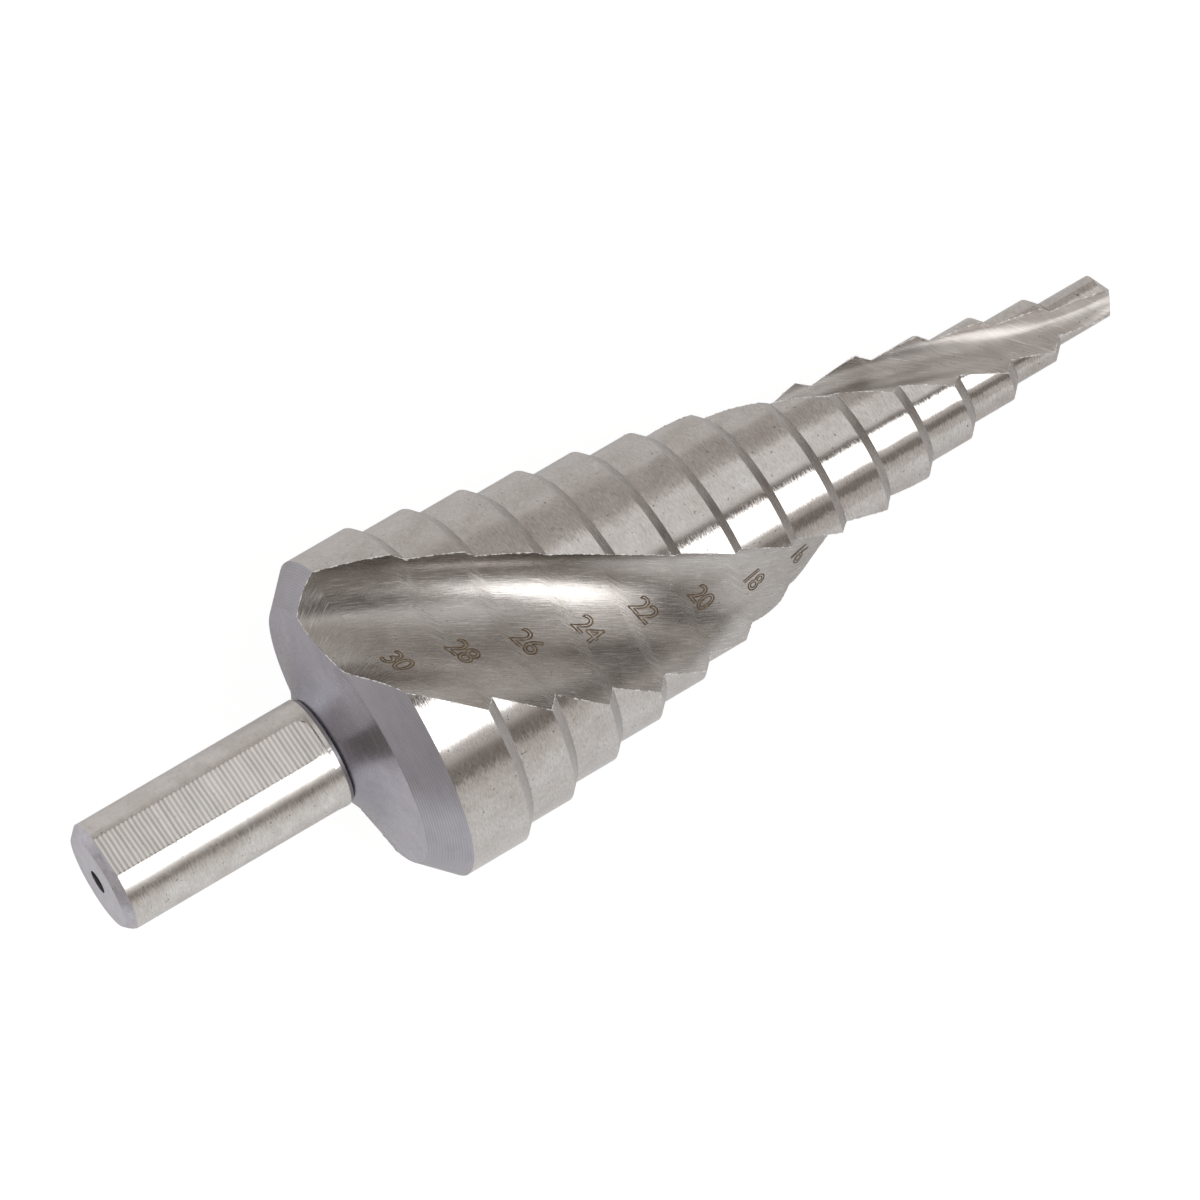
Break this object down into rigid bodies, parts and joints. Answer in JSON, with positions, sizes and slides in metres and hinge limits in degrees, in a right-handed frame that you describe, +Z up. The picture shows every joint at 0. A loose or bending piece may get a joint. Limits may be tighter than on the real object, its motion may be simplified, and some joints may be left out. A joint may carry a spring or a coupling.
{
  "type": "step drill",
  "caption": "Stepped cone drill for opening out round holes in sheet metal, with twisted chip flutes, a drill point and a flatted round shank.",
  "frame": {"origin": "middle of the bounding box's base, on the table the drill lies on", "axes": "+X along the drill towards its point, with the axis dipping 9.43 degrees to the table, +Z up"},
  "size_m": [0.1004, 0.03, 0.0299],
  "materials": {
    "steel": "ground and lightly blasted"
  },
  "bodies": {
    "root": {"step_drill": "steel"}
  },
  "joints": []
}
